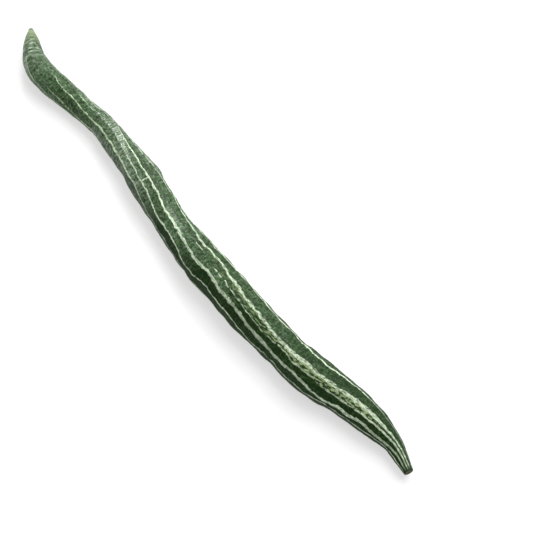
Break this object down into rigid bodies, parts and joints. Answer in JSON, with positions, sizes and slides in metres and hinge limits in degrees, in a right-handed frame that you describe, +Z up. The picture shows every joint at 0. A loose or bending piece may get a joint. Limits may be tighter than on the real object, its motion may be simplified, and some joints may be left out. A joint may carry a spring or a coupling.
{
  "type": "snake gourd",
  "caption": "Long slender snake gourd fruit with a pointed blossom tip and a narrow cut stem end, lying on its side.",
  "frame": {"origin": "bottom centre of the fruit's box, on the surface it lies on", "axes": "+X along the fruit towards the stem end, +Z up, +Y to the side towards which both ends bend"},
  "size_m": [0.6752, 0.0648, 0.0412],
  "materials": {
    "rind": "waxy dark green rind with thin pale green stripes"
  },
  "bodies": {
    "root": {"gourd": "rind"}
  },
  "joints": []
}
